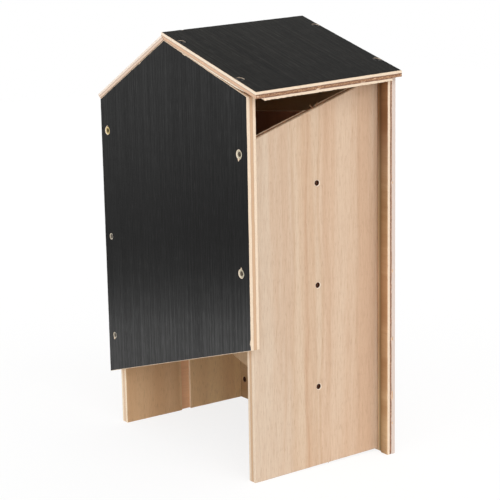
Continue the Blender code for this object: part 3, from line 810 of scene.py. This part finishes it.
# What the boards of one kind share. Edges are numbered from the first corner on; rubbed, splinter and
# tear have one value for each edge, or one for all. A chip is its edge, its place as a share of that
# edge, its half length and its depth. A slope is how far an edge stands out at each depth.
bareBoard = {
    "slot": "bare_plywood", "stained": False, "thickness": 9.0, "step": 0.9, "chips": [],
    "rubDepth": 0.04, "rubbed": 0.2, "arris": 0.3, "wear": 0.3,
}
blackBoard = {
    "slot": "black_stain", "stained": True, "sheen": 0.04, "step": 0.9, "rubDepth": 0.24, "arris": 0.28,
}
roofBoard = {
    **blackBoard, "into": (0, 0, -1), "thickness": 7.79, "wear": 0.3, "lean": 0.0, "streak": 7.0,
    "core": (tint(116, 76, 52), tint(198, 154, 116), tint(104, 66, 50)), "coreBrown": (0.1, 0.95),
    "glue": (0.4, 1.0, 0.085), "glueTint": tint(112, 68, 48),
}
frontPanel = {
    **blackBoard, "name": "frontPanel", "node": "front_panel", "seed": 11,
    "corners": [(0, 0, 52), (240, 0, 124), (240, 0, 340.6), (115.3, 0, 381.7), (0, 0, 321.2)],
    "into": (0, 1, 0), "grain": (0, 0, 1), "thickness": 9.0, "wear": 0.35, "coreBrown": (0.15, 0.45),
    "rubbed": [0.06, 0.12, 0.02, 0.16, 0.05], "splinter": [0.2, 0, 0, 0, 0],
    "tear": [0.5, 0.25, 0.5, 0.5, 0.25],
    "chips": [(2, 0.742, 2.6, 0.3), (3, 0.368, 2.4, 0.35), (1, 0.03, 2.5, 0.5)],
    "lean": 0.19, "streak": 1.5,
    # stain tones with painted reflection and floor bounce: lightest at the bottom, darkest in the middle
    "stainAndLightTones": [(0, 66), (27, 66), (46, 62), (64, 52), (82, 42), (101, 34), (125, 30), (137, 30), (174, 34),
              (210, 39), (247, 43), (283, 45)],
}
backPanel = {
    **bareBoard, "name": "backPanel", "node": "back_panel", "seed": 23,
    "corners": [(0, 156.6, 0), (246.4, 156.6, 0), (246.4, 156.6, 348.705), (115.3, 156.6, 389.075),
                (0, 156.6, 328.575)],
    "into": (0, -1, 0), "grain": (1, 0, 0), "splinter": [0.2, 0.2, 0, 0, 0],
    "tear": [0.7, 1.0, 0.5, 0.5, 1.0], "coreBrown": (0.7, 0.95),
    "bare": (226, 192, 156), "plies": (0.47, 0.69), "shadedFrom": 229, "outerPly": tint(214, 197, 186),
    "core": (tint(96, 58, 40), tint(158, 112, 86), tint(186, 140, 112)),
    # painted shade on the inner face: darker just beyond the side panel's end, beside the groove's shoulder,
    # and up towards the roof
    "paintedShades": [
        (0, [(0, 255), (230, 255), (231.6, (210, 221, 215)), (233.3, (157, 153, 129)),
             (236.9, (157, 153, 129)), (237.3, (195, 188, 172)), (241, (220, 216, 206)),
             (244.6, (235, 235, 232)), (245.4, 255), (246.4, 255)]),
        (2, [(0, 255), (50, (255, 252, 250)), (106, (240, 225, 216)), (162, (255, 242, 238)),
             (218, (229, 218, 206)), (264, (222, 214, 212)), (292, (202, 184, 178)),
             (311, (184, 159, 137)), (325, (190, 163, 142)), (349, (182, 152, 128))]),
    ],
    "grooves": [((-8.0, 140.0, -5.0), (14.3, 150.3, 390.0)), ((220.7, 140.0, -5.0), (237.1, 150.3, 390.0))],
}
leftSide = {
    **bareBoard, "name": "leftSide", "node": "left_side_panel", "seed": 37,
    "corners": [(5, 9.3, 0), (5, 150, 0), (5, 150, 328.334), (5, 9.3, 321.304)],
    "into": (1, 0, 0), "grain": (0, 0, 1), "splinter": [0.2, 0, 0, 0], "tear": [0.5, 0.4, 0.8, 0.3],
    "coreBrown": (0.05, 0.8), "bare": (250, 200, 158),
    # edge and inner tints lifted above the wood's own as painted light; the shades are painted shade, darker
    # on the front half and at the top of the inner face
    "sideTintsWithPaintedLight": (tint(255, 236, 208), tint(244, 212, 180)),
    "innerTintsWithPaintedLight": (tint(252, 222, 176), tint(240, 204, 158)),
    "paintedShades": [
        (1, [(0, (225, 213, 209)), (71, (225, 213, 209)), (75, 255), (150, 255)]),
        (2, [(0, 255), (200, 255), (300, (222, 202, 198)), (349, (215, 196, 190))]),
    ],
    "grooves": [((11.0, 74.0, -5.0), (20.0, 85.0, 340.0))],
}
rightSide = {
    **bareBoard, "name": "rightSide", "node": "right_side_panel", "seed": 41,
    "corners": [(230, 9.3, 0), (230, 150, 2.2), (230, 150, 347.273), (230, 9.3, 301.042)],
    "into": (-1, 0, 0), "grain": (0, 0, 1), "splinter": [0.3, 0, 0.6, 0], "tear": [0.5, 0.4, 1.0, 0.3],
    "coreBrown": (0.05, 0.85),
    "figure": [
        (0, (250, 252, 255)), (50, (250, 252, 255)), (54, (244, 239, 235)), (57, (251, 250, 249)),
        (66, (250, 248, 246)), (69, (240, 229, 222)), (71, (250, 248, 246)), (82, (250, 248, 246)),
        (84.5, (242, 233, 226)), (87, (252, 248, 246)), (92, (245, 237, 232)), (95, (252, 248, 246)),
        (124, (252, 248, 246)), (127, (246, 240, 236)), (129, (252, 248, 246)), (150, (252, 249, 248)),
    ],
    # inner tints lifted as painted light inside the box
    "innerTintsWithPaintedLight": (tint(246, 214, 168), tint(230, 192, 146)),
    "grooves": [((215.0, 74.0, -5.0), (224.0, 85.0, 360.0))],
    "splinters": [
        ((226.0, 82.5, 323.5), (224.9, 86.0, 329.6), 0.45), ((226.5, 80.0, 323.0), (226.2, 76.0, 327.2), 0.4),
        ((229.0, 90.0, 3.0), (229.7, 92.0, 0.15), 0.6),
    ],
}
partition = {
    **bareBoard, "name": "partition", "node": "partition_panel", "seed": 53,
    "corners": [(11.3, 75, 104.8), (223.7, 75, 43.6), (223.7, 75, 321.23), (11.3, 75, 304.692)],
    "into": (0, 1, 0), "grain": (0, 0, 1), "splinter": [0.4, 0, 0.4, 0], "tear": [0.6, 0.3, 0.8, 0.3],
    # the dark brown outer ply and the shades are painted shade in the vent, darker towards the top
    "wear": 0.5, "coreBrown": (0.3, 0.7), "brown": 1.0, "outerPly": tint(150, 108, 82),
    "paintedShades": [(2, [(0, 255), (180, 255), (270, (150, 118, 112)), (349, (142, 110, 104))])],
}
leftRoof = {
    **roofBoard, "name": "leftRoof", "node": "left_roof_board", "seed": 67,
    "corners": [(-4.2, 0, 325.32), (111.317, 0, 385.934), (111.317, 158.1, 393.834), (-4.2, 158.1, 333.22)],
    "grain": (-1, 0, -0.5), "rubbed": 0.1, "splinter": [0, 0, 0, 0.7], "tear": [0.25, 0.4, 0.25, 1.0],
    "slopes": {0: [(0, 0), (7.79, 0.345)], 1: [(0, 0), (7.79, 2.485)], 2: [(0, 0), (7.79, -0.345)],
               3: [(0, 0), (7.79, -2.895)]},
    "chips": [], "stainAndLightTones": [(0, (19, 18.5, 17)), (150, (17, 16.5, 15.2))],
    # rake edges paler as painted light from the front
    "sideTintsWithPaintedLight": (tint(255, 240, 226), tint(246, 220, 198)),
    "side": "left", "seat": flatSeat,
}
rightRoof = {
    **roofBoard, "name": "rightRoof", "node": "right_roof_board", "seed": 71,
    "corners": [(111.77, 0, 388.646), (253, 0, 345.156), (253, 158.1, 353.056), (111.77, 158.1, 396.546)],
    "grain": (1, 0, -0.3), "rubbed": [0.12, 0.1, 0.1, 0.05], "splinter": [0, 0.8, 0, 0],
    "tear": [0.3, 1.0, 0.3, 0.3],
    "slopes": {0: [(0, 0), (7.79, 0.372)], 1: [(0, 0), (7.79, 2.396)], 2: [(0, 0), (7.79, -0.372)],
               3: [(0, 0), (2.5, -0.587), (7.79, -10.722)]},
    "chips": [(3, 0.86, 1.2, 0.6)],
    "stainAndLightTones": [(0, (19.5, 19, 17.3)), (60, (18.2, 17.6, 16)), (150, (16.8, 16.2, 14.8))],
    # rake edges paler as painted light from the front
    "sideTintsWithPaintedLight": (tint(255, 238, 216), tint(240, 200, 168)),
    "side": "right",
    "seat": [(-15.0, 5.3), (117.0, 5.3), (190.0, 6.7), (225.0, 6.5), (240.0, 5.3), (265.0, 5.3)],
}
boards = [frontPanel, backPanel, leftSide, rightSide, partition, leftRoof, rightRoof]


def makeBoard(board):
    grid = boardGrid(board)
    mesh = ringMesh(board["name"], grid)
    material = plywood(board)
    piece = addPiece(board["name"], mesh, material, board["node"])
    cutters = []
    for low, high in board.get("grooves", []):
        cutters.append(ringMesh("groove", boxGrid(low, high), smooth=False))
    if "side" in board:
        cutters.append(ringMesh("frontStep", stepGrid(board, -4.0, 9.3, board["seat"]), smooth=False))
        cutters.append(ringMesh("backStep", stepGrid(board, 147.3, 162.0, flatSeat), smooth=False))
    holes, firstTorn, secondTorn = holesFor(grid)
    if board is backPanel:
        for x, z in wallHoles:
            place = benchPoint((x, 147.6, z))
            form = turnedGrid(wallHoleProfile, place, (0, 1, 0), 44, 0.1, (1,), int(x))
            holes.append(ringMesh("wallHole", form))
    cutters += [joinMeshes("holes", group) for group in (holes, firstTorn, secondTorn) if group]
    cutOut(piece, cutters)
    if "splinters" in board:
        splinters = [splinterMesh(*splinter) for splinter in board["splinters"]]
        piece.data = joinMeshes(board["name"], [piece.data] + splinters)
        piece.data.materials.append(material)
    markHoleRimsAndShade(piece.data)
    flatten(piece.data, boardPlane(board)[3])
    return piece


for board in boards:
    made = makeBoard(board)
    print(board["name"], "made with", len(made.data.polygons), "faces")


# Clean metal, its dull patches, its colour in the recess, darkened as painted shade, and how metallic it is
metalLooks = {
    "yellowZinc": (tint(228, 220, 196), tint(170, 160, 134), tint(58, 36, 24), 0.6),
    "paintedZinc": (tint(31, 30, 29), tint(25, 25, 25), tint(18, 18, 18), 0.0),
    # the sunk partition screws: a dark brown look that is painted shade deep in their holes
    "sunkZincPaintedShade": (tint(116, 70, 44), tint(84, 46, 28), tint(50, 26, 16), 0.1),
    "brassyZinc": (tint(238, 216, 152), tint(196, 170, 104), tint(62, 42, 22), 0.5),
    "greyZinc": (tint(206, 198, 182), tint(160, 152, 138), tint(70, 60, 50), 0.5),
}
rust = tint(150, 108, 76)


# Zinc with cloudy patches and scratches, darker and less metallic in the recess, as painted shade, where
# # the recess mark is 1, and the colour of rust and wood dust where the mark called buried is 1, below the
# head
def screwMetal(name):
    clean, dull, shadeTint, metallic = metalLooks[name]
    material, tree, shader = startMaterial(name)
    local = addNode(tree, "TexCoord", {}).outputs["Object"]
    patches = grainNoise(tree, local, (700, 700, 700), 3, 0.6)
    scratches = grainNoise(tree, local, (4200, 900, 2600), 2, 0.6)
    colour = mixColour(tree, rise(tree, patches, 0.35, 0.7), clean, dull)
    scratched = times(tree, rise(tree, scratches, 0.6, 0.75), 0.4)
    colour = mixColour(tree, scratched, colour, dull)
    colour = mixColour(tree, marked(tree, "recessShade"), colour, shadeTint)
    colour = mixColour(tree, marked(tree, "buried"), colour, rust)
    fill(tree, shader, {
        "Base Color": colour,
        "Roughness": scaled(tree, patches, 0.35, 0.30),
        "Metallic": times(tree, less(tree, 1.0, marked(tree, "recessShade")), metallic),
        "Specular IOR Level": 0.3,
    })
    addBump(tree, shader, scratches, 0.3, 0.00005)
    return material


metals = {name: screwMetal(name) for name in metalLooks}


def ease(value):
    value = np.clip(value, 0, 1)
    return value * value * (3 - 2 * value)


# A screw as a ring of sections. Level k starts in the middle of the head, runs out over its face,
# # round its rim, down the cone and the shank to the tip. On the face the depth is a shallow dish and in
# # it the cross recess: recessDepth * (1 - 0.3 * distance / reach) inside either arm, eased to nothing at
# # the arm's sides. The second result marks the recess and its dish for painted shade, the third is the
# # mark called buried.
def screwGrid(kind, place, axis, stations=72):
    axis = unit(axis)
    first, second = crossDirections(axis)
    angle = (np.arange(stations) + 0.5) * 2 * math.pi / stations
    head, rim = kind["head"], kind["rim"]
    faceRadii = np.linspace(0.05, head - 0.12, 26)
    sides = [
        (0.04, head - 0.04), (0.12, head), (rim, head), (rim + kind["cone"], kind["shank"]),
        (kind["length"] - kind["tip"], kind["shank"]), (kind["length"], 0.05),
    ]
    depths = np.concatenate([np.zeros(26), [d for d, r in sides]])
    radii = np.concatenate([faceRadii, [r for d, r in sides]])
    x = np.cos(angle)[:, None] * radii
    y = np.sin(angle)[:, None] * radii

    def arm(u, v):
        return ease((kind["arm"] - np.abs(v)) / 0.22 + 0.5) * ease((kind["recess"] - np.abs(u)) / 0.35 + 0.5)

    cross = np.maximum(arm(x, y), arm(y, x)) * (1 - 0.3 * radii / kind["recess"])
    dish = ease((kind["recess"] + 0.25 - radii) / 0.5 + 0.5)
    onFace = np.arange(len(depths)) < 26
    depth = (np.where(onFace, np.maximum(cross * kind["recessDepth"], dish * 0.15), 0) + depths) * mm
    spin = angle + 0.35
    ring = np.cos(spin)[:, None] * first + np.sin(spin)[:, None] * second
    start = place + axis * kind["sink"] * mm
    grid = start + depth[:, :, None] * axis + (radii * mm)[None, :, None] * ring[:, None, :]
    recessShade = np.where(onFace, np.maximum(cross, dish * 0.8), 0)
    return grid, recessShade, np.where(depths > rim, 1.0, 0.0) + 0 * recessShade


def screwLook(name):
    if "roof" in name:
        return metals["paintedZinc"]
    if "partition" in name:
        return metals["sunkZincPaintedShade"]
    if name.startswith("front_left"):
        return metals["brassyZinc" if name.endswith("3") else "greyZinc"]
    return metals["yellowZinc"]


for name, place, axis, kind in screws:
    grid, recessShade, buried = screwGrid(kind, place, axis)
    mesh = ringMesh(name + "_metal", grid)
    addMark(mesh, "recessShade", recessShade)
    addMark(mesh, "buried", buried)
    addPiece(name + "_metal", mesh, screwLook(name), name)
    mesh.set_sharp_from_angle(angle=math.radians(40))
print("screws made:", len(screws))


floorLook = {"size": 6.0, "bounce": (0.95, 0.95, 0.95, 1), "seen": (0.22, 0.22, 0.22, 1), "glow": 0.82}
worldLook = {"sky": 0.58}
lampLooks = {
    "right": {"energy": 1.15, "spread": 60, "from": (1.0, -0.05, 0.55)},
    "front": {"energy": 1.3, "spread": 90, "from": (0.52, -1.0, 0.12)},
}


# 1 for what the camera, a mirror image or a clear pane shows, 0 for the light that spreads
def seenRays(tree):
    rays = addNode(tree, "LightPath", {}).outputs
    through = calc(tree, "MAXIMUM", rays["Is Glossy Ray"], rays["Is Transmission Ray"])
    return calc(tree, "MAXIMUM", rays["Is Camera Ray"], through)


# A flat square on the ground: point = (u - 1/2, v - 1/2, 0) * size
def addFloor(look):
    u, v = np.meshgrid(np.linspace(-0.5, 0.5, 2), np.linspace(-0.5, 0.5, 2))
    points = np.stack([u.ravel(), v.ravel(), u.ravel() * 0], 1) * look["size"]
    mesh = bpy.data.meshes.new("floor")
    mesh.from_pydata(points.tolist(), [], [(0, 1, 3, 2)])
    material, tree, shader = startMaterial("paperFloor")
    seen = seenRays(tree)
    fill(tree, shader, {
        "Base Color": mixColour(tree, seen, look["bounce"], look["seen"]),
        "Roughness": 0.9,
        "Specular IOR Level": 0.0,
        "Emission Color": (1, 1, 1, 1),
        "Emission Strength": times(tree, seen, look["glow"]),
    })
    mesh.materials.append(material)
    floor = addObject("floor", mesh)


def addWorld(look):
    world = bpy.data.worlds.new("studio")
    bpy.context.scene.world = world
    tree = startTree(world)
    strength = scaled(tree, seenRays(tree), 1.0 - look["sky"], look["sky"])
    background = addNode(tree, "Background", {"Color": (1, 1, 1, 1), "Strength": strength})
    addNode(tree, "OutputWorld", {"Surface": background.outputs[0]})


def addLamp(name, look):
    sun = bpy.data.lights.new(name + "Light", "SUN")
    sun.energy = look["energy"]
    sun.angle = math.radians(look["spread"])
    lamp = addObject(name + "Light", sun)
    lamp.rotation_euler = Vector(look["from"]).to_track_quat("Z", "Y").to_euler()


cameraPlace = {
    "place": (1.11751, -0.79453, 0.46631),
    "right": (0.58440, 0.81127, -0.01767),
    "up": (-0.15411, 0.13234, 0.97915),
    "ahead": (-0.79670, 0.56950, -0.20236),
    "lens": 107.80, "sensor": 36.0,
}


def addCamera(look):
    data = bpy.data.cameras.new("camera")
    data.lens = look["lens"]
    data.sensor_width = look["sensor"]
    data.clip_start = 0.05
    camera = addObject("camera", data)
    turn = Matrix((look["right"], look["up"], -Vector(look["ahead"]))).transposed().to_4x4()
    camera.matrix_world = Matrix.Translation(look["place"]) @ turn
    bpy.context.scene.camera = camera


addFloor(floorLook)
addWorld(worldLook)
for name, look in lampLooks.items():
    addLamp(name, look)
addCamera(cameraPlace)
bpy.context.scene.view_settings.view_transform = "Standard"
print("floor, light and camera placed")
